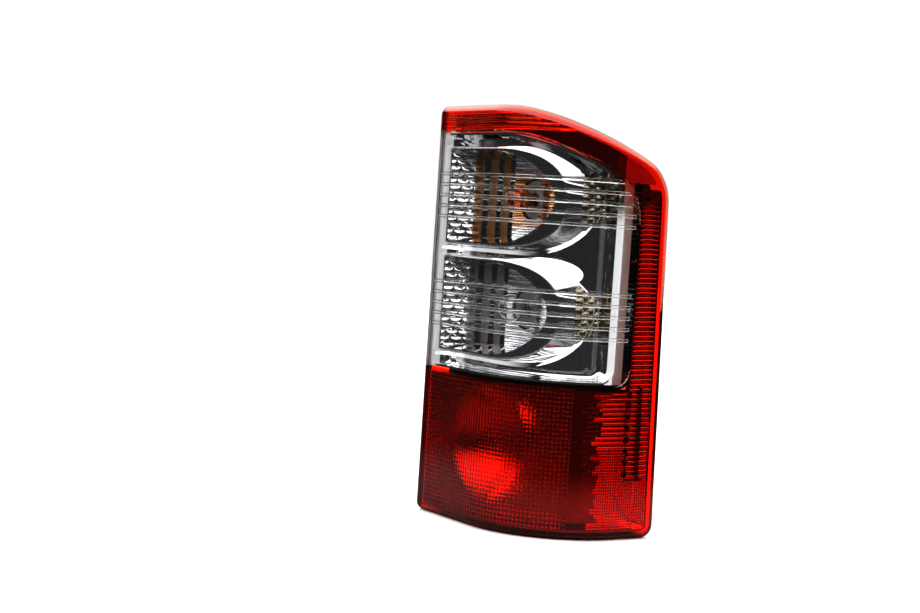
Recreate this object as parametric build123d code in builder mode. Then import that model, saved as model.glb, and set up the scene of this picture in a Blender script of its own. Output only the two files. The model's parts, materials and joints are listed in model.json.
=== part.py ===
import os
from math import asin, cos, degrees, hypot, radians, sin, sqrt, tan

from build123d import *

os.makedirs("parts", exist_ok=True)

# Right-hand rear lamp cluster, millimetres.
# +X points outboard, -Y faces the road behind the car, +Z is up.
# The origin lies on the body panel, midway between the two bracket bolt holes.

# Lens skin seen from above: flat rear face, round corner, flat side
lens_height = 401.5       # foot to the crest line that the top edge falls away from
rear_width = 93.0
corner_radius = 99.0
side_length = 51.0

# Lens outline seen from the side
forward_lean = 8.0        # how far the forward edge leans back at the top
top_slope = 23.0          # degrees, the fall of the top edge over the side
slope_start = 10.0        # depth behind the rear face where the fall begins
slope_blend = 70.0        # radius that eases the flat top into the fall
shoulder_radius = 45.0    # top corner of the forward edge
foot_radius = 13.0        # bottom corner of the forward edge
edge_round = 9.0          # rounding of the skin into its top, front and foot
inner_round = 2.5         # rounding of the inboard wall
lens_wall = 3.0
lens_depth = 30.0         # from the skin to the joint with the housing

# Clear window moulded into the red lens
junction_height = 144.0   # foot of the window above the foot of the lens
top_band = 24.5
slope_band = 26.0
forward_band = 44.0
window_corner = 16.0
window_shoulder = 55.0

# Optic ribs on the inner face of the lens
rib_height = 1.2
rib_width = 3.6
rib_pitch = 10.3
rib_count = 5
band_rib_pitch = 4.4
band_rib_count = 4
band_rib_run = 2.5        # from the window to the first of the ribs above it

# Metallised bezel with two bullet-shaped bowls
bezel_wall = 2.0
bezel_front = 6.0         # depth of the bezel edge behind the skin
bezel_fit = 1.0           # bezel edge to window border, seen from the side
bezel_start = 5.0         # bezel edge to the inboard face of the lens
border_run = 13.5         # outboard wall of the bezel to the window border
flange_depth = 12.0       # bezel flange behind the skin, outside its walls
panel_depth = 24.0        # face of the bezel panel behind the skin
panel_round = 6.0
bowl_rim_depth = 8.0      # front of the bowl rims behind the skin
bowl_margin = 16.5        # bowls to the foot and the top of the window
bowl_gap = 10.0           # between the two bowls
bowl_rim = 4.0            # width of the rounded rim
bowl_rim_round = 3.0
bowl_start = 15.0         # hollow of the bowls from the inboard face of the lens
nose_start = 100.0        # where the bowl begins to round to its nose
nose_end = 163.0
swell = 2.0               # growth of the bowl sides towards their foot
swell_depth = 41.0        # where the nose is fullest, behind the rear face
swell_start = 130.0
swell_end = 164.0
tip_start = 125.0         # nose where it runs into the outboard wall
tip_end = 169.5
bowl_draft = 8.0          # degrees
bowl_depth = 56.0         # reflector floor at the bulb, behind the skin
dish_depth = 52.0         # edges of the plain dish around the bulb
dish_half = 28.0
flute_start_depth = 38.0  # inboard foot of the flutes
nose_depth = 46.0         # reflector floor at the nose
flute_count = 3
flute_sag = 1.8
bulb_hole = 40.0

# Reflector of the stop and tail chamber
stop_front = 8.0
stop_depth = 27.0
stop_gap = 5.0            # to the bezel chamber above it
stop_edge = 7.0           # to the lens outline
stop_bowl_radius = 54.0
stop_bowl_height = 80.0   # bowl centre above the foot of the lens
arm_height = 185.0        # top of the upright arm above the foot of the window

# Housing
housing_depth = 62.0
housing_wall = 2.5
flange_thickness = 4.0
body_inset = 6.0          # housing body inside the flange outline
back_round = 5.0
seal_width = 1.6
seal_depth = 1.5
collar_wall = 4.0
collar_height = 6.0
port_bore = 38.0
back_rib_height = 5.0
back_rib_width = 2.0
back_rib_clear = 1.0      # stiffening ribs to the screw heads beside them
boss_diameter = 9.0
boss_near = 22.0          # boss columns from the inboard face of the lens
boss_middle = 60.0
boss_low = 19.0           # reflector bosses above the foot of the lens
boss_drop = 9.25          # upper reflector boss below the rib over the stop bulb
side_boss = 12.0          # length of the bracket screw bosses
pin_diameter = 8.0
pin_reach = 12.0          # past the forward edge of the lens
pin_chamfer = 1.5
pin_shoulder = 15.0       # square seat round each pin
shoulder_back = 5.0       # seat behind the forward edge of the lens
pin_low = 90.0            # lower pin above the foot of the lens
pin_drop = 111.5          # upper pin below the crest line
vent_across = 50.0
vent_rise = 14.75         # vent above the rib over the stop bulb
vent_diameter = 8.0
vent_bore = 4.0
vent_length = 9.0
cap_rubber = 2.0

# Bulbs and their holders
bulb_across = 88.0        # bulb axis from the inboard face of the lens
bulb_length = 52.5
glass_diameter = 25.0
glass_neck = 13.0
glass_wall = 0.8
glass_seat = 3.0          # neck of the glass inside the cap
cap_diameter = 15.0
cap_length = 19.0
cap_pin = 2.0
cap_pin_reach = 1.0
cap_pin_back = 6.0        # pins from the rim of the cap
post_spread = 6.0
post_length = 21.0
filament_gap = 4.0
filament_back = 1.0       # from the ends of the posts
filament_diameter = 0.5
holder_fit = 0.5
holder_barrel = 12.0
holder_flange = 46.0
holder_flange_thickness = 4.0
holder_tail = 30.0
holder_tail_length = 10.0
grip_length = 42.0
grip_width = 5.0
grip_height = 8.0
ring_thickness = 2.0
blade_width = 6.3
blade_thickness = 0.8
blade_length = 8.0
blade_pitch = 9.0
wire_diameter = 0.7
bulb_fit = 0.2

# Brackets: folded zinc-plated sheet
bracket_low = 150.0       # lower bolt hole above the foot of the lens
bracket_drop = 67.5       # upper bolt hole below the crest line
bracket_reach = 95.0      # rear face of the lens to the body panel
bracket_height = 54.0
bracket_sheet = 2.0
bracket_start = 40.0      # front edge of the bracket behind the rear face
bracket_foot = 28.0       # width of the bolted foot
bracket_hole = 7.0
hole_across = 13.0        # bolt hole from the outer face of the bracket
lip_width = 10.0
lip_length = 24.0
bend_radius = 2.0         # inside of the fold
bracket_corner = 6.0

# Screws
screw_shank = 4.0
screw_head = 8.5
screw_head_height = 3.0
screw_length = 11.0
screw_fit = 0.5           # clearance holes, on the diameter
slip = 0.1                # pressed and threaded pieces, on the diameter
bracket_screw_spread = 30.0
bracket_screw_back = 12.0  # from the front edge of the bracket

# Places that follow from the sizes above
overrun = 40.0
tiny = 0.01
rear_y = -bracket_reach
bracket_x = -hole_across
inner_x = bracket_x - body_inset + bracket_sheet
bracket_spacing = lens_height - bracket_low - bracket_drop
base_z = -bracket_low - bracket_spacing / 2
top_z = base_z + lens_height
corner_x = inner_x + rear_width
corner_y = rear_y + corner_radius
side_x = corner_x + corner_radius
forward_y = corner_y + side_length
body_width = side_x - inner_x
slope = radians(top_slope)
slope_y = rear_y + slope_start
window_foot = base_z + junction_height
window_top = top_z - top_band
window_y = forward_y - forward_band
bowl_height = (window_top - window_foot - 2 * bowl_margin - bowl_gap) / 2
reverse_z = window_foot + bowl_margin + bowl_height / 2
indicator_z = reverse_z + bowl_height + bowl_gap
stop_z = base_z + stop_bowl_height
back_rib_offset = (bowl_height - screw_head - back_rib_width) / 2 - back_rib_clear
bulb_x = inner_x + bulb_across
back_y = rear_y + housing_depth
collar_y = back_y + collar_height
ring_y = collar_y + ring_thickness
tail_y = ring_y + holder_flange_thickness
cap_end_y = tail_y + holder_tail_length / 2
cap_rim_y = cap_end_y - cap_length
seat_y = cap_rim_y + glass_seat
bulb_heights = {"indicator": indicator_z, "reverse": reverse_z, "stop": stop_z}
filament_count = {"indicator": 1, "reverse": 1, "stop": 2}
sockets = [(bulb_x, height) for height in bulb_heights.values()]
pilot = screw_shank + slip
pilot_y = back_y - screw_length - bezel_wall


def plan_band(near, far, start):
    """Plan of a strip between two depths behind the skin."""
    first_x = inner_x + start
    last_y = forward_y + overrun
    with BuildSketch() as strip:
        with BuildLine():
            for depth in (near, far):
                Line((first_x, rear_y + depth), (corner_x, rear_y + depth))
                CenterArc((corner_x, corner_y), corner_radius - depth, -90, 90)
                Line((side_x - depth, corner_y), (side_x - depth, last_y))
            Line((first_x, rear_y + near), (first_x, rear_y + far))
            Line((side_x - near, last_y), (side_x - far, last_y))
        make_face()
    return strip.sketch


def lens_outline(inset):
    """Side view of the lens, Y across and Z up, drawn in by inset."""
    drop = (forward_y - forward_lean - slope_y) * tan(slope)
    with BuildSketch() as view:
        with BuildLine():
            FilletPolyline(
                (rear_y - overrun, base_z),
                (forward_y, base_z),
                (forward_y - forward_lean, top_z - drop),
                (slope_y, top_z),
                (rear_y - overrun, top_z),
                radius=[0, foot_radius, shoulder_radius, slope_blend, 0],
                close=True,
            )
        make_face()
        if inset > 0:
            offset(amount=-inset)
    return view.sketch


def window_outline(inset, run=0):
    """Side view of the clear window, drawn in by inset and by run at its forward edge."""
    edge_y = window_y - run
    fall_y = slope_y - slope_band * sin(slope)
    fall_z = top_z - slope_band * cos(slope)
    bend_y = fall_y + (fall_z - window_top) / tan(slope)
    shoulder_z = fall_z - (edge_y - fall_y) * tan(slope)
    with BuildSketch() as view:
        with BuildLine():
            FilletPolyline(
                (rear_y - overrun, window_foot),
                (edge_y, window_foot),
                (edge_y, shoulder_z),
                (bend_y, window_top),
                (rear_y - overrun, window_top),
                radius=[0, window_corner, window_shoulder, slope_blend, 0],
                close=True,
            )
        make_face()
        if inset > 0:
            offset(amount=-inset)
    return view.sketch


def stop_outline(inset):
    """Side view of the stop chamber: the foot of the lamp and an upright arm."""
    with BuildSketch() as view:
        add(lens_outline(stop_edge))
        with Locations((rear_y - overrun, window_foot - stop_gap)):
            Rectangle(
                window_y + stop_gap - rear_y + overrun,
                lens_height,
                align=(Align.MIN, Align.MIN),
                mode=Mode.SUBTRACT,
            )
        with Locations((window_y, window_foot + arm_height)):
            Rectangle(overrun + forward_band, lens_height, align=(Align.MIN, Align.MIN), mode=Mode.SUBTRACT)
        if inset > 0:
            offset(amount=-inset)
    return view.sketch


def flange_outline():
    """Side view of the bezel flange: behind the window and the band above it, clear of the arm."""
    with BuildSketch() as view:
        add(lens_outline(stop_edge))
        with Locations((rear_y - overrun, window_foot + bezel_fit)):
            Rectangle(
                forward_y - rear_y + 2 * overrun,
                lens_height,
                align=(Align.MIN, Align.MAX),
                mode=Mode.SUBTRACT,
            )
        with Locations((window_y - bezel_fit, window_foot + arm_height + stop_gap)):
            Rectangle(overrun + forward_band, lens_height, align=(Align.MIN, Align.MAX), mode=Mode.SUBTRACT)
    return view.sketch


def slab(near, far, start, outline):
    """Layer of the lamp between two depths, trimmed to a side outline."""
    with BuildPart() as layer:
        with BuildSketch(Plane.XY.offset(base_z)):
            add(plan_band(near, far, start))
        extrude(amount=lens_height)
        with BuildSketch(Plane.YZ.offset(inner_x)):
            add(outline)
        extrude(amount=body_width, mode=Mode.INTERSECT)
    return layer.part


def depth_of(point):
    """Depth of a point behind the skin, in plan."""
    across = point.X - corner_x
    along = point.Y - corner_y
    if across <= 0:
        return corner_radius + along
    if along >= 0:
        return corner_radius - across
    return corner_radius - hypot(across, along)


def rim_edges(part, depth, start):
    """Edges round the layer face at a depth, past a start, without the seams on that face."""
    found = []
    for edge in part.edges():
        middle = edge @ 0.5
        seam = min(abs(middle.X - corner_x), abs(middle.Y - corner_y)) < tiny
        if abs(depth_of(middle) - depth) < tiny and not seam and middle.X > inner_x + start + tiny:
            found.append(edge)
    return found


def window_block(inset):
    """Prism of the window outline right across the lamp."""
    with BuildPart() as block:
        with BuildSketch(Plane.YZ.offset(inner_x - overrun)):
            add(window_outline(inset))
        extrude(amount=body_width + 2 * overrun)
    return block.part


def skin_path(depth, height):
    """Level line along the lamp at a depth behind the skin."""
    with BuildLine(Plane.XY.offset(height)) as path:
        Line((inner_x, rear_y + depth), (corner_x, rear_y + depth))
        CenterArc((corner_x, corner_y), corner_radius - depth, -90, 90)
        Line((side_x - depth, corner_y), (side_x - depth, forward_y))
    return path.line


def lens_ribs(middle, pitch, count, outline):
    """Level half-round ribs about a height on the inside of the lens, trimmed to a side outline."""
    radius = (rib_width**2 / 4 + rib_height**2) / (2 * rib_height)
    depth = lens_wall + rib_height - radius
    with BuildPart() as rib:
        with BuildSketch(Plane.YZ.offset(inner_x)):
            with Locations((rear_y + depth, 0)):
                Circle(radius)
        sweep(path=skin_path(depth, 0))
    with BuildPart() as ribs:
        lowest = middle - pitch * (count - 1) / 2
        with Locations(*[(0, 0, lowest + pitch * i) for i in range(count)]):
            add(rib.part)
        add(slab(lens_wall / 2, lens_wall + rib_height, lens_wall, outline), mode=Mode.INTERSECT)
    return ribs.part


def rib_rows(middle, pitch, count, outline):
    """Side view of level ribs about a height, kept inside an outline."""
    with BuildSketch() as rows:
        with Locations((rear_y, middle)):
            with GridLocations(0, pitch, 1, count):
                Rectangle(2 * (forward_y - rear_y), back_rib_width)
        add(outline, mode=Mode.INTERSECT)
    return rows.sketch


def bullet_outline(middle, left, half, nose_from, nose_to):
    """Rear view of a bowl: straight inboard, with half an ellipse for its nose."""
    left_x = inner_x + left
    nose_x = inner_x + nose_from
    with BuildSketch() as view:
        with BuildLine():
            Polyline(
                (nose_x, middle - half),
                (left_x, middle - half),
                (left_x, middle + half),
                (nose_x, middle + half),
            )
            EllipticalCenterArc((nose_x, middle), nose_to - nose_from, half, start_angle=-90, arc_size=180)
        make_face()
    return view.sketch


def rear_plane(y):
    """Upright plane at y that faces the road behind."""
    return Plane.XZ.offset(-y)


# Lens shell, before the window is parted from it
with BuildPart() as lens_space:
    add(slab(lens_wall, lens_depth + lens_wall, lens_wall, lens_outline(lens_wall)))
    fillet(rim_edges(lens_space.part, lens_wall, 0), edge_round - lens_wall)

with BuildPart() as lens_shell:
    add(slab(0, lens_depth, 0, lens_outline(0)))
    fillet(rim_edges(lens_shell.part, 0, 0), edge_round)
    inboard_edges = lens_shell.faces().sort_by(Axis.X)[0].edges()
    fillet([edge for edge in inboard_edges if depth_of(edge @ 0.5) < lens_depth - tiny], inner_round)
    add(lens_space.part, mode=Mode.SUBTRACT)

with BuildPart() as clear_lens:
    add(lens_shell.part)
    add(window_block(0), mode=Mode.INTERSECT)
    for middle in (indicator_z, reverse_z):
        add(lens_ribs(middle, rib_pitch, rib_count, window_outline(rib_width)))
clear_lens.part.label = "clear_lens"
export_step(clear_lens.part, "parts/clear_lens.step")

with BuildPart() as red_lens:
    add(lens_shell.part)
    add(window_block(0), mode=Mode.SUBTRACT)
    band_middle = window_top + band_rib_run + band_rib_pitch * (band_rib_count - 1) / 2
    add(lens_ribs(band_middle, band_rib_pitch, band_rib_count, lens_outline(edge_round)))
red_lens.part.label = "red_lens"
export_step(red_lens.part, "parts/red_lens.step")


def flute_run(start, end, sag):
    """Row of flutes along a straight run, bulging to the rear by sag."""
    step = (Vector(end) - Vector(start)) / flute_count
    for i in range(flute_count):
        first = Vector(start) + step * i
        if sag > 0:
            SagittaArc(first, first + step, -sag)
        else:
            Line(first, first + step)


def floor_plan(back, sag):
    """Plan of a bowl in front of its floor, set back by the wall for its outer side."""
    first_x = inner_x + bowl_start - back
    last_x = inner_x + nose_end
    foot = (first_x, rear_y + flute_start_depth + back)
    flat = (bulb_x - dish_half, rear_y + dish_depth + back)
    rise = (bulb_x + dish_half, rear_y + dish_depth + back)
    nose = (last_x, rear_y + nose_depth + back)
    with BuildSketch() as view:
        with BuildLine():
            Polyline(nose, (last_x, rear_y), (first_x, rear_y), foot)
            flute_run(foot, flat, sag)
            ThreePointArc(flat, (bulb_x, rear_y + bowl_depth + back), rise)
            flute_run(rise, nose, sag)
        make_face()
    return view.sketch


def bowl_cone(middle, wall):
    """Hollow of a bowl along Y from its rim, drawn in by the draft as it goes and let out by wall."""
    reach = corner_radius - bowl_rim_depth
    with BuildPart() as cone:
        for run in (0, reach):
            inset = run * tan(radians(bowl_draft)) - wall
            half = bowl_height / 2 - bowl_rim - inset
            with BuildSketch(rear_plane(rear_y + bowl_rim_depth + run)):
                add(bullet_outline(middle, bowl_start + inset, half, nose_start, nose_end - bowl_rim - inset))
        loft(ruled=True)
    return cone.part


def bowl_pad(middle):
    """Raised bullet that carries the rim of one bowl and swells to a rounded nose."""
    half = bowl_height / 2
    with BuildPart() as pad:
        with BuildSketch(rear_plane(rear_y + bowl_rim_depth)):
            add(bullet_outline(middle, bezel_start, half, nose_start, nose_end))
        with BuildSketch(rear_plane(rear_y + swell_depth)):
            add(bullet_outline(middle, bezel_start, half + swell, swell_start, swell_end))
        with BuildSketch(rear_plane(corner_y)):
            add(bullet_outline(middle, bezel_start, half, tip_start, tip_end))
        loft()
        window = window_outline(bezel_fit, border_run)
        add(slab(bowl_rim_depth, panel_depth + bezel_wall / 2, bezel_start, window), mode=Mode.INTERSECT)
        fillet(rim_edges(pad.part, bowl_rim_depth, bezel_start), bowl_rim_round)
    return pad.part


def bowl_wall(middle):
    """Back of one bowl, behind the bezel panel."""
    with BuildPart() as wall:
        add(bowl_cone(middle, bezel_wall))
        with BuildSketch(Plane.XY.offset(middle - bowl_height / 2)):
            add(floor_plan(bezel_wall, 0))
        extrude(amount=bowl_height, mode=Mode.INTERSECT)
        window = window_outline(bezel_fit, border_run)
        behind = slab(panel_depth + bezel_wall / 2, corner_radius - bezel_wall, bezel_start, window)
        add(behind, mode=Mode.INTERSECT)
    return wall.part


def bowl_space(middle):
    """Hollow of one bowl, with drafted sides and a fluted floor."""
    with BuildPart() as space:
        add(bowl_cone(middle, 0))
        with BuildSketch(Plane.XY.offset(middle - bowl_height / 2)):
            add(floor_plan(0, flute_sag))
        extrude(amount=bowl_height, mode=Mode.INTERSECT)
    return space.part


def posts(places, diameter, front, back):
    """Round posts along Y at places given across and up."""
    with BuildPart() as group:
        with BuildSketch(rear_plane(front)):
            with Locations(*places):
                Circle(diameter / 2)
        extrude(amount=front - back)
    return group.part


with BuildPart() as bezel_space:
    inside = window_outline(bezel_fit + bezel_wall, border_run)
    add(slab(bezel_front - bezel_wall, panel_depth, bezel_start + bezel_wall, inside))
    fillet(rim_edges(bezel_space.part, panel_depth, 0), panel_round)

gap_z = (indicator_z + reverse_z) / 2
bezel_bosses = [
    (inner_x + boss_near, gap_z),
    (bulb_x, gap_z),
    (inner_x + boss_middle, window_top - bowl_margin),
    (inner_x + boss_middle, window_foot + bowl_margin),
]
with BuildPart() as reflector_bezel:
    outside = window_outline(bezel_fit, border_run)
    add(slab(bezel_front, panel_depth + bezel_wall, bezel_start, outside))
    add(slab(flange_depth, flange_depth + bezel_wall, bezel_start, flange_outline()))
    add(bezel_space.part, mode=Mode.SUBTRACT)
    for middle in (indicator_z, reverse_z):
        add(bowl_pad(middle))
        add(bowl_wall(middle))
    add(posts(bezel_bosses, boss_diameter, rear_y + panel_depth + bezel_wall / 2, back_y - housing_wall))
    add(posts(bezel_bosses, pilot, pilot_y, back_y), mode=Mode.SUBTRACT)
    for middle in (indicator_z, reverse_z):
        add(bowl_space(middle), mode=Mode.SUBTRACT)
    add(posts(sockets, bulb_hole, rear_y + flute_start_depth, back_y), mode=Mode.SUBTRACT)
reflector_bezel.part.label = "reflector_bezel"
export_step(reflector_bezel.part, "parts/reflector_bezel.step")

# Reflector of the stop and tail chamber
with BuildPart() as stop_space:
    add(slab(stop_front - bezel_wall, stop_depth, bezel_start + bezel_wall, stop_outline(bezel_wall)))


def dish(radius, depth):
    """Round parabolic bowl of the stop chamber, rim at the chamber floor."""
    rim = rear_y + stop_depth
    with BuildPart() as bowl:
        with BuildSketch(Plane((bulb_x, 0, stop_z))):
            with BuildLine():
                Bezier((0, rim + depth), (radius / 2, rim + depth), (radius, rim))
                Polyline((radius, rim), (0, rim), (0, rim + depth))
            make_face()
        revolve(axis=Axis((bulb_x, 0, stop_z), (0, 1, 0)))
    return bowl.part


stop_bosses = [
    (inner_x + boss_near, base_z + boss_low),
    (inner_x + boss_near, stop_z + back_rib_offset - boss_drop),
    (bulb_x, base_z + boss_low),
]
with BuildPart() as stop_reflector:
    add(slab(stop_front, stop_depth + bezel_wall, bezel_start, stop_outline(0)))
    add(stop_space.part, mode=Mode.SUBTRACT)
    add(dish(stop_bowl_radius + bezel_wall, bowl_depth - stop_depth + bezel_wall))
    add(posts(stop_bosses, boss_diameter, rear_y + stop_depth + bezel_wall / 2, back_y - housing_wall))
    add(posts(stop_bosses, pilot, pilot_y, back_y), mode=Mode.SUBTRACT)
    add(dish(stop_bowl_radius, bowl_depth - stop_depth), mode=Mode.SUBTRACT)
    add(posts([(bulb_x, stop_z)], bulb_hole, rear_y + stop_depth, back_y), mode=Mode.SUBTRACT)
stop_reflector.part.label = "stop_reflector"
export_step(stop_reflector.part, "parts/stop_reflector.step")

# Seal in the joint between the lens and the housing
seal_inset = (lens_wall - seal_width) / 2
with BuildPart() as lens_seal:
    add(slab(lens_depth, lens_depth + seal_depth, seal_inset, lens_outline(seal_inset)))
    seal_inner = seal_inset + seal_width
    inside = slab(lens_depth - 1, lens_depth + 2 * seal_depth, seal_inner, lens_outline(seal_inner))
    add(inside, mode=Mode.SUBTRACT)
lens_seal.part.label = "lens_seal"
export_step(lens_seal.part, "parts/lens_seal.step")

# Housing
bracket_heights = [-bracket_spacing / 2, bracket_spacing / 2]
bracket_screw_y = rear_y + bracket_start + bracket_screw_back
bracket_screw_spots = [
    (bracket_screw_y, middle + side * bracket_screw_spread / 2)
    for middle in bracket_heights
    for side in (-1, 1)
]
pin_x = side_x - (lens_depth + housing_depth) / 2
pin_spots = [(pin_x, base_z + pin_low), (pin_x, top_z - pin_drop)]
vent_spot = [(inner_x + vent_across, stop_z + back_rib_offset + vent_rise)]
space_inset = body_inset + housing_wall
rib_inset = space_inset + back_round

with BuildPart() as housing_space:
    add(slab(lens_depth - 1, housing_depth - housing_wall, space_inset, lens_outline(space_inset)))
    fillet(rim_edges(housing_space.part, housing_depth - housing_wall, 0), back_round - housing_wall)

with BuildPart() as lamp_housing:
    add(slab(lens_depth, housing_depth, body_inset, lens_outline(body_inset)))
    fillet(rim_edges(lamp_housing.part, housing_depth, 0), back_round)
    add(slab(lens_depth, lens_depth + flange_thickness, 0, lens_outline(0)))
    for height in bulb_heights.values():
        rows = rib_rows(height, 2 * back_rib_offset, 2, lens_outline(rib_inset))
        add(slab(housing_depth - housing_wall, housing_depth + back_rib_height, rib_inset, rows))
    add(housing_space.part, mode=Mode.SUBTRACT)
    add(lens_seal.part, mode=Mode.SUBTRACT)
    add(posts(sockets, port_bore + 2 * collar_wall, back_y - housing_wall, collar_y))
    add(posts(sockets, port_bore, back_y - back_round - housing_wall, collar_y), mode=Mode.SUBTRACT)
    all_bosses = bezel_bosses + stop_bosses
    add(posts(all_bosses, screw_shank + screw_fit, back_y - housing_wall, back_y), mode=Mode.SUBTRACT)
    add(posts(vent_spot, vent_diameter, back_y - housing_wall, back_y + vent_length))
    add(posts(vent_spot, vent_bore, back_y - back_round, back_y + vent_length), mode=Mode.SUBTRACT)
    with BuildSketch(Plane.YZ.offset(inner_x + body_inset)):
        with Locations(*bracket_screw_spots):
            Circle(boss_diameter / 2)
    extrude(amount=side_boss)
    with BuildSketch(Plane.YZ.offset(inner_x + body_inset)):
        with Locations(*bracket_screw_spots):
            Circle(pilot / 2)
    extrude(amount=screw_length, mode=Mode.SUBTRACT)
    pin_start = forward_y - forward_lean - space_inset
    add(posts(pin_spots, pin_shoulder, pin_start, forward_y - shoulder_back))
    add(posts(pin_spots, pin_diameter, pin_start, forward_y + pin_reach))
    chamfer(lamp_housing.edges().sort_by(Axis.Y)[-2:], pin_chamfer)
lamp_housing.part.label = "lamp_housing"
export_step(lamp_housing.part, "parts/lamp_housing.step")

# Bulbs, their holders and terminals
for name, height in bulb_heights.items():
    axis = Axis((bulb_x, 0, height), (0, 1, 0))
    level = Plane((bulb_x, 0, height))
    spot = [(bulb_x, height)]
    ball = glass_diameter / 2
    neck = glass_neck / 2
    ball_y = cap_end_y - bulb_length + ball

    with BuildPart() as bulb_glass:
        with BuildSketch(level):
            with BuildLine():
                for r, n in ((ball, neck), (ball - glass_wall, neck - glass_wall)):
                    CenterArc((0, ball_y), r, -90, 180 - degrees(asin(n / r)))
                    Line((n, ball_y + sqrt(r * r - n * n)), (n, seat_y))
                Line((neck, seat_y), (neck - glass_wall, seat_y))
                Line((0, ball_y - ball), (0, ball_y - ball + glass_wall))
            make_face()
        revolve(axis=axis)
    bulb_glass.part.label = name + "_bulb_glass"
    export_step(bulb_glass.part, "parts/" + name + "_bulb_glass.step")

    with BuildPart() as bulb_cap:
        add(posts(spot, cap_diameter, cap_rim_y, cap_end_y))
        with BuildSketch(level.rotated((0, 90, 0))):
            with Locations((0, cap_rim_y + cap_pin_back)):
                Circle(cap_pin / 2)
        extrude(amount=cap_diameter / 2 + cap_pin_reach, both=True)
        add(posts(spot, glass_neck, cap_rim_y, seat_y), mode=Mode.SUBTRACT)
    bulb_cap.part.label = name + "_bulb_cap"
    export_step(bulb_cap.part, "parts/" + name + "_bulb_cap.step")

    with BuildPart() as filament:
        ends = [(bulb_x + side * post_spread / 2, height) for side in (-1, 1)]
        add(posts(ends, wire_diameter, seat_y - post_length, seat_y))
        with BuildSketch(level.rotated((0, 90, 0))):
            for i in range(filament_count[name]):
                with Locations((0, seat_y - post_length + filament_back + i * filament_gap)):
                    Circle(filament_diameter / 2)
        extrude(amount=post_spread / 2, both=True)
    filament.part.label = name + "_filament"
    export_step(filament.part, "parts/" + name + "_filament.step")

    with BuildPart() as holder:
        add(posts(spot, port_bore - 2 * holder_fit, ring_y - holder_barrel, ring_y))
        add(posts(spot, holder_flange, ring_y, tail_y))
        add(posts(spot, holder_tail, tail_y, tail_y + holder_tail_length))
        with BuildSketch(rear_plane(tail_y)):
            with Locations(*spot):
                Rectangle(grip_length, grip_width)
        extrude(amount=-grip_height)
        add(posts(spot, cap_diameter + 2 * bulb_fit, ring_y - holder_barrel, cap_end_y), mode=Mode.SUBTRACT)
        with BuildSketch(rear_plane(ring_y - holder_barrel)):
            with Locations(*spot):
                Rectangle(cap_diameter + 2 * (cap_pin_reach + bulb_fit), cap_pin + 2 * bulb_fit)
        extrude(amount=-(cap_rim_y + cap_pin_back + cap_pin - ring_y + holder_barrel), mode=Mode.SUBTRACT)
    holder.part.label = name + "_holder"
    export_step(holder.part, "parts/" + name + "_holder.step")

    with BuildPart() as holder_seal:
        add(posts(spot, holder_flange, collar_y, ring_y))
        add(posts(spot, port_bore, collar_y, ring_y), mode=Mode.SUBTRACT)
    holder_seal.part.label = name + "_holder_seal"
    export_step(holder_seal.part, "parts/" + name + "_holder_seal.step")

    with BuildPart() as terminals:
        with BuildSketch(rear_plane(tail_y + holder_tail_length)):
            with Locations(*spot):
                with GridLocations(blade_pitch, 0, filament_count[name] + 1, 1):
                    Rectangle(blade_thickness, blade_width)
        extrude(amount=-blade_length)
    terminals.part.label = name + "_terminals"
    export_step(terminals.part, "parts/" + name + "_terminals.step")


def bracket(middle):
    """Folded bracket: plate on the housing, foot on the body panel, lip along the top."""
    start_y = rear_y + bracket_start
    low = middle - bracket_height / 2
    foot_end = bracket_x + bracket_foot
    with BuildPart() as sheet:
        with BuildSketch(Plane.XY.offset(low)):
            with BuildLine():
                FilletPolyline(
                    (bracket_x, start_y),
                    (bracket_x, 0),
                    (foot_end, 0),
                    (foot_end, -bracket_sheet),
                    (bracket_x + bracket_sheet, -bracket_sheet),
                    (bracket_x + bracket_sheet, start_y),
                    radius=[0, bend_radius + bracket_sheet, 0, 0, bend_radius, 0],
                    close=True,
                )
            make_face()
        extrude(amount=bracket_height)
        fillet(sheet.edges().filter_by(Axis.X).group_by(Axis.Y)[0], bracket_corner)
        fillet(sheet.edges().filter_by(Axis.Y).group_by(Axis.X)[-1], bracket_corner)
        with BuildSketch(Plane.XY.offset(low + bracket_height)):
            with Locations((bracket_x, -bend_radius - bracket_sheet)):
                Rectangle(lip_width, lip_length, align=(Align.MIN, Align.MAX))
        extrude(amount=-bracket_sheet)
        with BuildSketch(Plane.YZ.offset(bracket_x)):
            with Locations((rear_y + bracket_start + bracket_screw_back, middle)):
                with GridLocations(0, bracket_screw_spread, 1, 2):
                    Circle((screw_shank + screw_fit) / 2)
        extrude(amount=bracket_sheet, mode=Mode.SUBTRACT)
        add(posts([(0, middle)], bracket_hole, -bracket_sheet, 0), mode=Mode.SUBTRACT)
    return sheet.part


with BuildPart() as lower_bracket:
    add(bracket(bracket_heights[0]))
lower_bracket.part.label = "lower_bracket"
export_step(lower_bracket.part, "parts/lower_bracket.step")

with BuildPart() as upper_bracket:
    add(bracket(bracket_heights[1]))
upper_bracket.part.label = "upper_bracket"
export_step(upper_bracket.part, "parts/upper_bracket.step")

# Screws, all alike
with BuildPart() as one_screw:
    with BuildSketch():
        Circle(screw_head / 2)
    extrude(amount=screw_head_height)
    with BuildSketch():
        Circle(screw_shank / 2)
    extrude(amount=-screw_length)


def back_screws(places):
    """Screws through the back of the housing."""
    return [Plane((x, back_y, z), z_dir=(0, 1, 0)) for x, z in places]


with BuildPart() as bracket_screws:
    with Locations(*[Plane((bracket_x, y, z), z_dir=(-1, 0, 0)) for y, z in bracket_screw_spots]):
        add(one_screw.part)
bracket_screws.part.label = "bracket_screws"
export_step(bracket_screws.part, "parts/bracket_screws.step")

with BuildPart() as bezel_screws:
    with Locations(*back_screws(bezel_bosses)):
        add(one_screw.part)
bezel_screws.part.label = "bezel_screws"
export_step(bezel_screws.part, "parts/bezel_screws.step")

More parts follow.
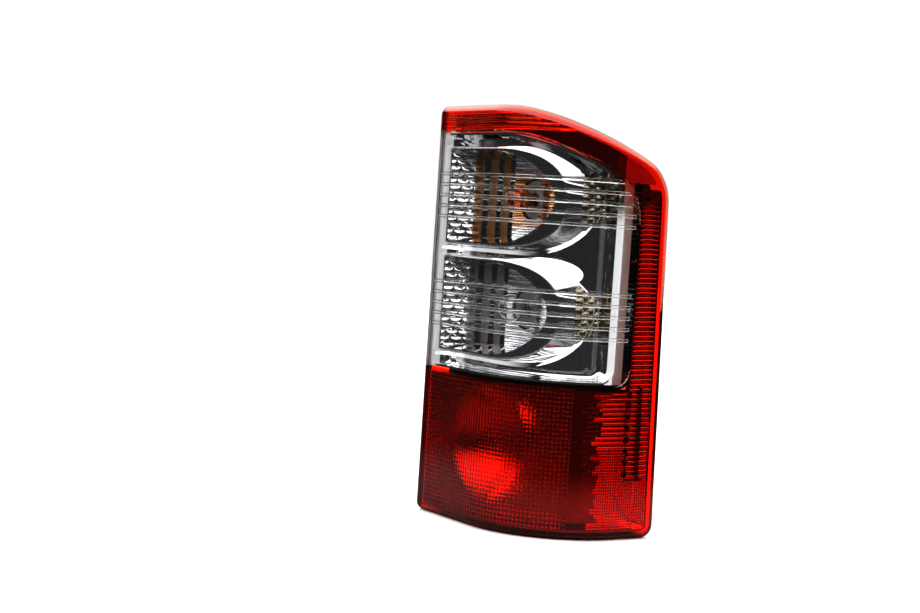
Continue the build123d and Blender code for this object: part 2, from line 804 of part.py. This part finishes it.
with BuildPart() as reflector_screws:
    with Locations(*back_screws(stop_bosses)):
        add(one_screw.part)
reflector_screws.part.label = "reflector_screws"
export_step(reflector_screws.part, "parts/reflector_screws.step")

# Rubber cap on the vent
with BuildPart() as breather_cap:
    vent_end = back_y + vent_length
    add(posts(vent_spot, vent_diameter + 2 * cap_rubber, back_y + cap_rubber, vent_end + cap_rubber))
    add(posts(vent_spot, vent_diameter + slip, back_y, vent_end), mode=Mode.SUBTRACT)
breather_cap.part.label = "breather_cap"
export_step(breather_cap.part, "parts/breather_cap.step")
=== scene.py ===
import json
import math
import bpy
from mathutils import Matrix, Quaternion, Vector


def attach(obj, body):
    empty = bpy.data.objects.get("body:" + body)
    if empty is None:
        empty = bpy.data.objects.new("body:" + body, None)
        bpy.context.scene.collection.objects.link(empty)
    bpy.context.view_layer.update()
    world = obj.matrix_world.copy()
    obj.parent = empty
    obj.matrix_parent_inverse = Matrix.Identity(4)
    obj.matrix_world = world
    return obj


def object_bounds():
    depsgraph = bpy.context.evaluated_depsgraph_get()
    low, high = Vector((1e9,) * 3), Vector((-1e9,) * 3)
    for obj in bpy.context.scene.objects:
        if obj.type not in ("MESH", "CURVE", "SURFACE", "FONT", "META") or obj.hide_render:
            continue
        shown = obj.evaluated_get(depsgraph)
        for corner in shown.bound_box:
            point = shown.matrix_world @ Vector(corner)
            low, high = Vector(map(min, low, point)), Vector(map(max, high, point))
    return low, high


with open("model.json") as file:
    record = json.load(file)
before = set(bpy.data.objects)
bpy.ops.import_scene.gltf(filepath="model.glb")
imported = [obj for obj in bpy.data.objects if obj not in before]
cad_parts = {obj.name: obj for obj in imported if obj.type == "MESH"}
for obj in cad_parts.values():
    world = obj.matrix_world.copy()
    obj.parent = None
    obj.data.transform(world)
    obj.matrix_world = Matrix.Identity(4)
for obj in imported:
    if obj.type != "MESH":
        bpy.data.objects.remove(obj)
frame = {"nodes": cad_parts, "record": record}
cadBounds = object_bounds()
nodes = frame["nodes"]
print("stage: frame loaded,", len(nodes), "nodes")

perMetre = 1000  # sizes are in millimetres unless a note says otherwise
black = (0, 0, 0)
white = (1, 1, 1)
mixPlaces = {"FLOAT": (2, 0), "VECTOR": (4, 1), "RGBA": (6, 2)}  # first input and output of a Mix node


class Wire:  # wraps a socket, so that node maths reads as sums
    def __init__(self, tree, socket=None):
        self.tree = tree
        self.socket = socket

    def make(self, kind, inputs, out=0, **settings):
        node = self.tree.nodes.new(kind)
        for key, value in settings.items():
            setattr(node, key, value)
        for key, value in inputs.items():
            feed(node, key, value)
        return Wire(self.tree, node.outputs[out])

    def math(self, operation, other=0.0):
        return self.make("ShaderNodeMath", {0: self, 1: other}, operation=operation)

    def reflected(self, operation, first):
        return self.make("ShaderNodeMath", {0: first, 1: self}, operation=operation)

    def __add__(self, other):
        return self.math("ADD", other)

    def __radd__(self, other):
        return self.reflected("ADD", other)

    def __sub__(self, other):
        return self.math("SUBTRACT", other)

    def __rsub__(self, other):
        return self.reflected("SUBTRACT", other)

    def __mul__(self, other):
        return self.math("MULTIPLY", other)

    def __rmul__(self, other):
        return self.reflected("MULTIPLY", other)

    def __truediv__(self, other):
        return self.math("DIVIDE", other)

    def __rtruediv__(self, other):
        return self.reflected("DIVIDE", other)

    def above(self, level):
        return self.math("GREATER_THAN", level)

    def below(self, level):
        return self.math("LESS_THAN", level)

    def within(self, low, high):
        return self.above(low) * self.below(high)

    def atLeast(self, level):
        return self.math("MAXIMUM", level)

    def size(self):
        return self.math("ABSOLUTE")

    def wave(self, pitch):
        return (self * (math.pi / pitch)).math("SINE").size()

    def ramp(self, low, high, start=0.0, end=1.0):
        sockets = {0: self, 1: low, 2: high, 3: start, 4: end}
        return self.make("ShaderNodeMapRange", sockets, interpolation_type="SMOOTHSTEP")

    def mix(self, first, second, kind="FLOAT"):
        place, out = mixPlaces[kind]
        sockets = {0: self, place: first, place + 1: second}
        return self.make("ShaderNodeMix", sockets, out=out, data_type=kind)

    def blend(self, first, second):
        return self.mix(opaque(first), opaque(second), "RGBA")


def feed(node, key, value):
    if isinstance(value, Wire):
        value.tree.links.new(value.socket, node.inputs[key])
    else:
        node.inputs[key].default_value = value


def opaque(colour):
    return colour if isinstance(colour, Wire) else tuple(colour) + (1,)


def newMaterial(name):
    material = bpy.data.materials.new(name)
    material.use_nodes = True
    tree = material.node_tree
    return material, tree.nodes["Principled BSDF"], Wire(tree)


def objectPoint(start):
    return start.make("ShaderNodeTexCoord", {}, out="Object")


def straight(start):
    depths = [start.make("ShaderNodeLightPath", {}, out=kind + " Depth") for kind in ("Glossy", "Diffuse")]
    return sum(depths).below(0.5)  # seen by the camera, also through the lens


def raised(height, normal=None):
    sockets = {"Strength": 1.0, "Distance": 1 / perMetre, "Height": height}  # height in millimetres
    if normal:
        sockets["Normal"] = normal.make("ShaderNodeVectorMath", {0: normal}, operation="NORMALIZE")
    return height.make("ShaderNodeBump", sockets, out="Normal")


speckle = {"detail": 3.0, "band": (0.3, 0.7)}  # fine noise that breaks up every finish


def grain(start, scale, low=0.0, high=1.0):
    sockets = {"Vector": objectPoint(start), "Scale": scale, "Detail": speckle["detail"]}
    return start.make("ShaderNodeTexNoise", sockets).ramp(*speckle["band"], low, high)


def speckled(start, scale, colour, dull):
    return grain(start, scale).blend([c * dull for c in colour], colour)


skin = {  # lens skin in plan: a straight back, a quarter round and a straight side
    "cornerX": 76.0,
    "cornerY": 4.0,
    "radius": 99.0,
    "run": 93.0,  # along the skin, from the body to the quarter round
    "foot": -242.0,
}


def lampPoint(start):
    point = objectPoint(start)
    axes = [point.make("ShaderNodeSeparateXYZ", {0: point}, out=axis) * perMetre for axis in "XYZ"]
    across = axes[0] - skin["cornerX"]
    along = axes[1] - skin["cornerY"]
    sideward = across.atLeast(0.0)
    rearward = along.math("MINIMUM", 0.0)
    reach = (sideward * sideward + rearward * rearward).math("SQRT")
    angle = sideward.math("ARCTAN2", rearward * -1)
    outward = reach.make("ShaderNodeCombineXYZ", {0: sideward / reach, 1: rearward / reach, 2: 0.0})
    run = across.math("MINIMUM", 0.0) + angle * skin["radius"] + along.atLeast(0.0) + skin["run"]
    return {
        "x": across + skin["run"],  # across, from the edge by the body
        "y": axes[1],
        "z": axes[2],
        "height": axes[2] - skin["foot"],
        "back": along + skin["radius"],  # forward, from the rearmost skin
        "depth": skin["radius"] - reach,  # under the skin
        "run": run,  # along the skin
        "outward": outward,
    }


plain = {"grain": 60.0, "dull": 0.85, "roughGrain": 120.0, "roughSpread": (0.85, 1.15)}
plainFinishes = {  # slot: material, colour, roughness, metallic
    "housing": ("blackHousing", (0.025, 0.025, 0.027), 0.45, 0.0),
    "bulb_cap": ("bulbCap", (0.72, 0.70, 0.66), 0.25, 1.0),
    "filament": ("filament", (0.35, 0.34, 0.33), 0.30, 1.0),
    "holder": ("holderPlastic", (0.44, 0.43, 0.41), 0.50, 0.0),
    "terminals": ("brass", (0.78, 0.58, 0.25), 0.30, 1.0),
    "bracket": ("yellowZinc", (0.80, 0.66, 0.36), 0.32, 1.0),
    "screws": ("screwZinc", (0.62, 0.62, 0.60), 0.35, 1.0),
    "rubber": ("rubber", (0.02, 0.02, 0.02), 0.70, 0.0),
}


def plainMaterial(name, colour, roughness, metallic):
    material, shader, start = newMaterial(name)
    low, high = [roughness * share for share in plain["roughSpread"]]
    feed(shader, "Base Color", speckled(start, plain["grain"], colour, plain["dull"]))
    feed(shader, "Roughness", grain(start, plain["roughGrain"], low, high))
    feed(shader, "Metallic", metallic)
    return material


glass = {"grain": 40.0, "dull": 0.97, "bulbIor": 1.5}
bulbGlasses = {  # slot: material, colour
    "amber_glass": ("amberGlass", (0.95, 0.36, 0.02)),
    "bulb_glass": ("bulbGlass", (0.97, 0.97, 0.97)),
}


def glassMaterial(name, colour, ior):
    material, shader, start = newMaterial(name)
    feed(shader, "Base Color", speckled(start, glass["grain"], colour, glass["dull"]))
    feed(shader, "Roughness", 0.0)
    feed(shader, "IOR", ior)
    feed(shader, "Transmission Weight", 1.0)
    return material, shader, start


clearLens = {"colour": (0.97, 0.975, 0.98), "ior": 1.49, "edge": (0.86, 0.80, 0.80)}
redLens = {
    "colour": (0.96, 0.06, 0.012),
    "ior": 1.49,
    "edge": (0.30, 0.006, 0.010),
    "pillowPitch": 4.2,
    "pillowHeight": 0.50,
    "pillowTop": 141.0,  # above the foot of the lens
    "pillowDepth": (2.5, 5.0),
    "pillowEnd": 200.0,  # along the skin
}
lensEdge = {  # matt moulded edge beside the body
    "run": 2.4,
    "depth": 9.5,
    "roughness": 0.35,
    "grain": 80.0,
    "shade": (0.85, 1.0),
}


def lensMaterial(name, values):
    material, shader, start = glassMaterial(name, values["colour"], values["ior"])
    at = lampPoint(start)
    shade = grain(start, lensEdge["grain"], *lensEdge["shade"])
    sockets = {"Base Color": shade.blend(black, values["edge"]), "Roughness": lensEdge["roughness"]}
    edge = start.make("ShaderNodeBsdfPrincipled", sockets)
    mask = at["run"].below(lensEdge["run"]) * at["depth"].below(lensEdge["depth"])
    lens = Wire(start.tree, shader.outputs["BSDF"])
    surface = start.make("ShaderNodeMixShader", {0: mask, 1: lens, 2: edge})
    feed(start.tree.nodes["Material Output"], "Surface", surface)
    return material, shader, at


def redMaterial():
    material, shader, at = lensMaterial("redLens", redLens)
    area = at["run"].below(redLens["pillowEnd"]) * at["height"].below(redLens["pillowTop"])
    mask = at["depth"].within(*redLens["pillowDepth"]) * area
    pillow = at["run"].wave(redLens["pillowPitch"]) * at["z"].wave(redLens["pillowPitch"])
    feed(shader, "Normal", raised(pillow * mask * redLens["pillowHeight"]))
    return material


chrome = {
    "colour": (0.93, 0.933, 0.94),
    "roughness": (0.018, 0.042),
    "roughGrain": 30.0,
    "grain": 50.0,
    "dull": 0.9,
}


def chromeMaterial(name):
    material, shader, start = newMaterial(name)
    feed(shader, "Metallic", 1.0)
    return material, shader, start, grain(start, chrome["roughGrain"], *chrome["roughness"])


def pieceChrome(name, colour):
    material, shader, start, rough = chromeMaterial(name)
    feed(shader, "Base Color", speckled(start, chrome["grain"], colour, chrome["dull"]))
    feed(shader, "Roughness", rough)
    return material


bowls = {
    "middles": (71.0, -34.0),  # heights of the two bowls
    "split": 18.5,  # height between them
    "half": 43.5,
    "start": 15.0,
    "fluteWidth": 15.0,
    "fluteRun": (18.0, 60.0),
    "fluteBack": (35.0, 54.0),
    # painted reflection: the flute field is dimmed to grey chrome
    "fluteColour": (0.36, 0.36, 0.37),
    "bar": (0.20, 0.36),  # half width of a bar, in flutes
    # painted reflection: amber bars in the upper bowl, pinkish-grey bars in the lower
    "upperBar": (0.58, 0.25, 0.08),
    "lowerBar": (0.50, 0.44, 0.45),
    "barRough": 0.42,
    "noseStart": 100.0,
    "noseLength": 59.0,
    "wallRun": (14.0, 24.0),  # faceted wall beside the body
    "wallBack": (9.0, 41.0),
    "wallEase": 0.55,  # how far the facets are turned to the rear
    "facet": (13.0, 6.2),  # depth and height
    "facetStep": 4.81,  # shift from one row to the next
    "facetHeight": 1.9,
    "floorStart": 61.0,
    "floorBack": (42.0, 58.0),
    "floorEdge": 0.97,  # share of the bowl's outline
    "glow": (21.0, 30.0),  # half heights where the painted amber reflection fades
    "streak": 5.0,
    "streakHeight": 1.6,
    # painted reflection: amber lines on the upper bowl's floor
    "paintedAmberColour": (0.85, 0.40, 0.16),
    "flankRun": (95.0, 215.0),
    "flankDepth": (8.5, 23.5),
    "flankRise": (4.0, 58.0),
    "flankEase": 0.38,  # how far the upper flanks are eased outward
    "crescents": (  # white ovals: along the skin, above the middle, half length, half height
        (156.0, 41.0, 54.0, 19.0),
        (154.0, 37.0, 54.0, 15.0),
    ),
    "crescentEdge": (0.85, 1.0),  # share of the oval where it fades
    "crescentEnd": (1.14, 2.0),  # over the foot of each bowl
    "crescentLift": 0.32,
    "foot": (125.0, 90.0, 49.5),  # foot of the bowls: start of the nose, its length, half height
    "lipWidth": 1.07,  # lower lip, from the foot to this share of it
    "lipRun": (105.0, 150.0),  # where the lip's painted white glow fades to mirror
    # painted highlight: white glow on the lower lips
    "lipLight": 0.75,
    "lightDepth": (8.5, 24.6),  # under the skin, where crescents and lips lie
}
paintedNoseShade = {  # painted dark reflection: brownish-dark field under the scales on the noses
    "run": (200.0, 240.0),
    "half": 26.0,
    "depth": (8.0, 23.5),
    "colour": (0.34, 0.29, 0.21),
    "roughness": 0.16,
}
border = {
    "run": (227.0, 243.0),
    "depth": (5.5, 14.0),
    "fromY": -8.5,
    "top": (290.0, 315.0),  # above the foot of the lens, where it fades
    # painted reflection: the chrome border face and rim are coloured near white instead of mirror
    "colour": (0.92, 0.92, 0.93),
    "roughness": 0.45,
    "metallic": 0.15,
    "light": 0.70,  # painted reflection: the border face glows with soft white emission, as if it mirrored a white light
    "rim": 13.5,  # along the skin, rim beside the body, painted white as a reflection
    "rimDepth": (4.0, 14.5),
    # painted reflection: a softer white glow on the rim
    "rimLight": 0.30,
    "stripRun": 243.0,
    "stripDepth": (11.0, 13.5),
    # painted reflection: a pale brownish, half-metallic tint lightens the strip beyond the border
    "stripColour": (0.80, 0.66, 0.60),
    "stripRough": 0.35,
    "stripMetallic": 0.35,
}


def bowlAreas(at):
    upper = at["z"].above(bowls["split"])
    flutes = at["back"].within(*bowls["fluteBack"]) * at["x"].within(*bowls["fluteRun"])
    place = ((at["x"] - bowls["start"]) / bowls["fluteWidth"]).math("FRACT") - 0.5  # from a flute's middle
    beyond = ((at["x"] - bowls["noseStart"]) / bowls["noseLength"]).atLeast(0.0)
    rises = [at["z"] - middle for middle in bowls["middles"]]
    levels = [rise / bowls["half"] for rise in rises]
    hollow = sum((beyond * beyond + level * level).below(bowls["floorEdge"]) for level in levels)
    floor = hollow * at["back"].within(*bowls["floorBack"]) * at["x"].above(bowls["floorStart"])
    near = sum(rise.size().below(paintedNoseShade["half"]) for rise in rises)
    return {
        "upper": upper,
        "flutes": flutes,
        "bars": place.size().ramp(*bowls["bar"], 1.0, 0.0) * flutes,
        "floor": floor,
        "paintedAmber": floor * upper * rises[0].size().ramp(*bowls["glow"], 1.0, 0.0),
        "nose": near * at["run"].within(*paintedNoseShade["run"]) * at["depth"].within(*paintedNoseShade["depth"]),
        "wall": at["x"].within(*bowls["wallRun"]) * at["back"].within(*bowls["wallBack"]),
    }


def borderAreas(at):
    face = at["run"].within(*border["run"]) * at["depth"].within(*border["depth"])
    return {
        "face": face * at["y"].above(border["fromY"]) * at["height"].ramp(*border["top"], 1.0, 0.0),
        "rim": at["run"].below(border["rim"]) * at["depth"].within(*border["rimDepth"]),
        "strip": at["run"].above(border["stripRun"]) * at["depth"].within(*border["stripDepth"]),
    }


def noseLights(at):
    noseStart, noseLength, half = bowls["foot"]
    out = ((at["run"] - noseStart) / noseLength).atLeast(0.0)
    crescents = []
    lips = []
    for middle, end, shape in zip(bowls["middles"], bowls["crescentEnd"], bowls["crescents"]):
        along, rise, halfLength, halfHeight = shape
        level = (at["run"] - along) / halfLength
        lift = (at["z"] - middle - rise) / halfHeight
        up = (at["z"] - middle) / half
        outline = out * out + up * up  # 1 at the foot of the bowl
        oval = (level * level + lift * lift).ramp(*bowls["crescentEdge"], 1.0, 0.0)
        crescents.append(oval * outline.below(end))
        lips.append(outline.within(1.0, bowls["lipWidth"] ** 2) * up.below(0.0))
    shown = at["depth"].within(*bowls["lightDepth"])
    return sum(crescents) * shown, sum(lips) * shown


def bowlRelief(at, area):
    length, height = bowls["facet"]
    step = (at["z"] / height).math("FLOOR") * bowls["facetStep"]
    facets = (at["back"] + step).wave(length) * at["z"].wave(height) * area["wall"]
    rows = at["z"].wave(bowls["streak"]) * area["floor"]
    return facets * bowls["facetHeight"] + rows * bowls["streakHeight"]


def easedNormal(start, at, area, lit):  # turns flanks, walls, crescents and lips to the light
    flank = at["run"].within(*bowls["flankRun"]) * at["depth"].within(*bowls["flankDepth"])
    over = sum((at["z"] - middle).within(*bowls["flankRise"]) for middle in bowls["middles"])
    ease = flank * over * bowls["flankEase"] + area["wall"] * bowls["wallEase"]
    normal = start.make("ShaderNodeNewGeometry", {}, out="Normal")
    sockets = {0: at["outward"], 1: (0, 0, bowls["crescentLift"])}
    lifted = start.make("ShaderNodeVectorMath", sockets, operation="ADD")
    return lit.mix(ease.mix(normal, at["outward"], "VECTOR"), lifted, "VECTOR")


def bezelMaterial():
    material, shader, start, rough = chromeMaterial("bezelChrome")
    at = lampPoint(start)
    area = bowlAreas(at)
    edge = borderAreas(at)
    crescent, lip = noseLights(at)
    # painted reflection: border face and rim take a near-white, barely metallic finish
    paintedWhite = edge["face"].atLeast(edge["rim"])
    # painted reflection: dimmed flutes and tinted bars
    paintedBarTint = area["upper"].blend(bowls["lowerBar"], bowls["upperBar"])
    colour = area["flutes"].blend(chrome["colour"], bowls["fluteColour"])
    colour = area["bars"].blend(colour, paintedBarTint)
    # painted reflection: amber tint on the upper bowl's floor
    colour = area["paintedAmber"].blend(colour, bowls["paintedAmberColour"])
    # painted dark reflection on the noses
    colour = area["nose"].blend(colour, paintedNoseShade["colour"])
    colour = paintedWhite.blend(colour, border["colour"])
    rough = area["bars"].mix(rough, bowls["barRough"])
    rough = area["nose"].mix(rough, paintedNoseShade["roughness"])
    rough = paintedWhite.mix(rough, border["roughness"])
    metallic = paintedWhite.mix(1.0, border["metallic"])
    # painted light: emission makes the border face, the rim and the lower lips glow white
    light = edge["face"] * border["light"] + edge["rim"] * border["rimLight"]
    # painted highlight: the lower lips glow white, fading along the skin
    light = light + lip * at["run"].ramp(*bowls["lipRun"], bowls["lipLight"], 0.0)
    # painted reflection: the strip beyond the border is lightened
    feed(shader, "Base Color", edge["strip"].blend(colour, border["stripColour"]))
    feed(shader, "Roughness", edge["strip"].mix(rough, border["stripRough"]))
    feed(shader, "Metallic", edge["strip"].mix(metallic, border["stripMetallic"]))
    feed(shader, "Emission Color", light.blend(black, white))
    feed(shader, "Emission Strength", 1.0)
    feed(shader, "Normal", raised(bowlRelief(at, area), easedNormal(start, at, area, crescent + lip)))
    return material


ridges = {
    "floorDepth": 24.0,  # under the skin
    "start": 232.0,  # along the skin
    "ragged": 18.0,  # how far the rows' ends differ
    "pitch": 4.6,
    "height": 2.4,
    "flat": 0.50,  # share of the pitch left flat
    "finePitch": 2.7,
    "fineHeight": 0.8,
    "fineTop": 82.0,  # above the foot of the lens
    "dark": (29.0, 5.0, 11.0),  # painted shade: dark toothed strip, its edge forward, its teeth and their pitch
    "darkHeight": (52.0, 142.0),  # above the foot of the lens
    "darkEnd": 172.0,  # across, from the edge by the body
    "darkColour": (0.10, 0.10, 0.10),
    "colour": (0.94, 0.94, 0.95),
    "bowl": (88.0, -162.0, 56.0),  # across, up, radius
    # painted highlight: the stop bowl is brighter chrome than the ridged field
    "bowlColour": (0.98, 0.98, 0.98),
}


def stopMaterial():
    material, shader, start, rough = chromeMaterial("stopChrome")
    at = lampPoint(start)
    row = (at["z"] / ridges["pitch"]).math("FLOOR")
    ragged = row.make("ShaderNodeTexWhiteNoise", {"W": row}, noise_dimensions="1D") * ridges["ragged"]
    floor = at["depth"].above(ridges["floorDepth"]) * (at["run"] - ragged).above(ridges["start"])
    coarse = (at["z"].wave(ridges["pitch"]) - ridges["flat"]).atLeast(0.0) * ridges["height"]
    grid = at["z"].wave(ridges["finePitch"]).atLeast(at["run"].wave(ridges["finePitch"]))
    close = (grid - ridges["flat"]).atLeast(0.0) * ridges["fineHeight"]
    lines = at["height"].below(ridges["fineTop"]).mix(coarse, close)
    middleX, middleZ, radius = ridges["bowl"]
    across = at["x"] - middleX
    up = at["z"] - middleZ
    bowl = (across * across + up * up).below(radius ** 2)
    edge, tooth, pitch = ridges["dark"]
    teeth = (at["z"] / pitch).math("FRACT").above(0.5) * tooth
    # painted shade: dark toothed strip on the reflector
    dark = (at["y"] - teeth).above(edge) * at["height"].within(*ridges["darkHeight"])
    dark = dark * at["x"].below(ridges["darkEnd"])
    # painted highlight: brighter chrome in the stop bowl
    colour = bowl.blend(ridges["colour"], ridges["bowlColour"])
    feed(shader, "Base Color", dark.blend(colour, ridges["darkColour"]))
    feed(shader, "Roughness", rough)
    feed(shader, "Normal", raised(lines * floor))
    return material


looks = {slot: plainMaterial(*values) for slot, values in plainFinishes.items()}
for slot, (name, colour) in bulbGlasses.items():
    looks[slot] = glassMaterial(name, colour, glass["bulbIor"])[0]
looks["clear_lens"] = lensMaterial("clearLens", clearLens)[0]
looks["red_lens"] = redMaterial()
special = {"reflector_bezel": bezelMaterial(), "stop_reflector": stopMaterial()}
for part in frame["record"]["subparts"]:
    name = part["node"]
    mesh = nodes[name].data
    mesh.materials.clear()
    mesh.materials.append(special[name] if name in special else looks[part["material_slot"]])
print("stage: materials set")

smoothAngle = math.radians(50)


def deselectAll():
    bpy.ops.object.select_all(action="DESELECT")


def applyPlace():
    bpy.ops.object.transform_apply(location=True, rotation=True, scale=True)


def finishPiece(piece, name, material):
    piece.name = name
    bpy.ops.object.shade_smooth_by_angle(angle=smoothAngle)
    piece.data.materials.append(material)
    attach(piece, "root")


sideTeeth = {  # round ridges behind the side of the red lens
    "x": 150.0,
    "y": (33.0, 45.0),
    "z": (-186.0, 84.0),
    "pitch": 4.6,
    "radius": 2.0,
    "sides": 12,
}


def buildTeeth():
    low, high = [v / perMetre for v in sideTeeth["z"]]
    near, far = [v / perMetre for v in sideTeeth["y"]]
    pitch = sideTeeth["pitch"] / perMetre
    deselectAll()
    bpy.ops.mesh.primitive_cylinder_add(
        vertices=sideTeeth["sides"],
        radius=sideTeeth["radius"] / perMetre,
        depth=far - near,
        location=(sideTeeth["x"] / perMetre, (near + far) / 2, low),
        rotation=(math.pi / 2, 0, 0),
    )
    strip = bpy.context.object
    applyPlace()
    rows = strip.modifiers.new("rows", "ARRAY")
    rows.count = int((high - low) / pitch)
    rows.use_relative_offset = False
    rows.use_constant_offset = True
    rows.constant_offset_displace = (0, 0, pitch)
    bpy.ops.object.modifier_apply(modifier="rows")
    finishPiece(strip, "sideTeeth", pieceChrome("teethChrome", chrome["colour"]))


noseScales = {
    "runs": (203.0, 211.0, 219.0, 227.0),  # along the skin
    "rows": (-21.25, 21.25),  # above and below the middle of a bowl
    "pitch": 8.5,
    "start": 5.5,  # depth from which the nose is sought
    "depth": (16.0, 23.6),  # where the nose has to be found
    "size": (5.6, 5.0, 2.6),  # half width, half height and rise of a scale
    "foot": -0.3,  # share of the rise that is sunk in the nose
    "facets": (16, 10),
    "tilt": 10.0,  # degrees, each scale leans over the next
}


def scaleDome():
    segments, rings = noseScales["facets"]
    foot = (0, 0, noseScales["foot"] / perMetre)
    deselectAll()
    bpy.ops.mesh.primitive_uv_sphere_add(segments=segments, ring_count=rings, radius=1 / perMetre)
    bpy.ops.object.mode_set(mode="EDIT")
    bpy.ops.mesh.select_all(action="SELECT")
    bpy.ops.mesh.bisect(plane_co=foot, plane_no=(0, 0, 1), use_fill=True, clear_inner=True)
    bpy.ops.object.mode_set(mode="OBJECT")
    return bpy.context.object


def scalePlaces():
    low, high = noseScales["rows"]
    shallow, deep = noseScales["depth"]
    for middle in bowls["middles"]:
        for column, run in enumerate(noseScales["runs"]):
            angle = (run - skin["run"]) / skin["radius"]
            outward = Vector((math.sin(angle), -math.cos(angle), 0))
            shift = 0.5 * (column % 2)  # every other column stands half a row higher
            for row in range(int((high - low) / noseScales["pitch"]) + 1):
                up = middle + low + (row + shift) * noseScales["pitch"]
                axis = Vector((skin["cornerX"], skin["cornerY"], up))
                origin = (axis + outward * (skin["radius"] - noseScales["start"])) / perMetre
                found, place, normal, face = nodes["reflector_bezel"].ray_cast(origin, -outward)
                if found and shallow < noseScales["start"] + (place - origin).length * perMetre < deep:
                    yield place, normal


def buildScales():
    dome = scaleDome()
    lean = Quaternion((0, 1, 0), math.radians(noseScales["tilt"]))
    copies = []
    for place, normal in scalePlaces():
        copy = dome.copy()
        copy.data = dome.data.copy()
        bpy.context.collection.objects.link(copy)
        copy.rotation_mode = "QUATERNION"
        copy.rotation_quaternion = normal.to_track_quat("Z", "Y") @ lean
        copy.location = place
        copy.scale = noseScales["size"]
        copies.append(copy)
    bpy.data.objects.remove(dome)
    deselectAll()
    for copy in copies:
        copy.select_set(True)
    bpy.context.view_layer.objects.active = copies[0]
    bpy.ops.object.join()
    applyPlace()
    # painted dark reflection: the scales take the noses' dark brownish colour
    finishPiece(bpy.context.object, "noseScales", pieceChrome("scaleChrome", paintedNoseShade["colour"]))


buildTeeth()
buildScales()
print("stage: teeth and scales built")

studio = {
    "floorSize": 12.0,  # metres
    "floorColour": (0.10, 0.10, 0.10),  # floor as the lamp reflects it
    "floorPale": (0.85, 0.85, 0.85),  # floor as the camera sees it
    "floorDark": (0.012, 0.012, 0.012),  # unlit floor away from the lamp
    "floorLit": (0.25, 0.6),  # metres from the lamp where the floor fades
    "floorRough": 0.9,
    "room": 0.02,  # dark room behind the camera
    "behind": (-0.45, 0.89),  # away from the camera, towards its right
    "backdrop": 1.0,
    "backdropFrom": (0.45, 0.65),  # how squarely behind the lamp the backdrop lies
    "overhead": 2.5,
    "overheadFrom": (0.36, 0.46),  # sine of the height where the overhead light begins
}

deselectAll()
bpy.ops.mesh.primitive_plane_add(size=studio["floorSize"], location=(0, 0, cadBounds[0][2]))
floor = bpy.context.object
floor.name = "floor"
floorMaterial, shader, start = newMaterial("floor")
reach = start.make("ShaderNodeVectorMath", {0: objectPoint(start)}, out="Value", operation="LENGTH")
fade = reach.ramp(*studio["floorLit"]).blend(studio["floorColour"], studio["floorDark"])
feed(shader, "Base Color", straight(start).blend(fade, studio["floorPale"]))
feed(shader, "Roughness", studio["floorRough"])
feed(shader, "Specular IOR Level", 0.0)
floor.data.materials.append(floorMaterial)

world = bpy.data.worlds.new("studio")
bpy.context.scene.world = world
world.use_nodes = True
start = Wire(world.node_tree)
direction = start.make("ShaderNodeTexCoord", {}, out="Generated")
x, y, z = [direction.make("ShaderNodeSeparateXYZ", {0: direction}, out=axis) for axis in "XYZ"]
behind = x * studio["behind"][0] + y * studio["behind"][1]
back = behind.ramp(*studio["backdropFrom"], studio["room"], studio["backdrop"])
top = z.ramp(*studio["overheadFrom"], 0.0, studio["overhead"])
background = world.node_tree.nodes["Background"]
feed(background, "Color", opaque(white))
feed(background, "Strength", back.atLeast(top).atLeast(straight(start)))
bpy.context.scene.view_settings.view_transform = "Standard"
print("stage: studio set")

view = {
    "place": (1.4193, -0.9782, 0.0452),  # metres, from a perspective fit to the photo
    "turn": (87.167, -3.760, 57.537),  # degrees about X, Y, Z
    "lens": 66.76,
    "sensor": 36.0,
    "far": 50.0,  # metres
}

cameraData = bpy.data.cameras.new("camera")
cameraData.lens = view["lens"]
cameraData.sensor_width = view["sensor"]
cameraData.clip_end = view["far"]
cameraObject = bpy.data.objects.new("camera", cameraData)
bpy.context.scene.collection.objects.link(cameraObject)
cameraObject.location = view["place"]
cameraObject.rotation_euler = [math.radians(a) for a in view["turn"]]
bpy.context.scene.camera = cameraObject

print("stage: camera set")
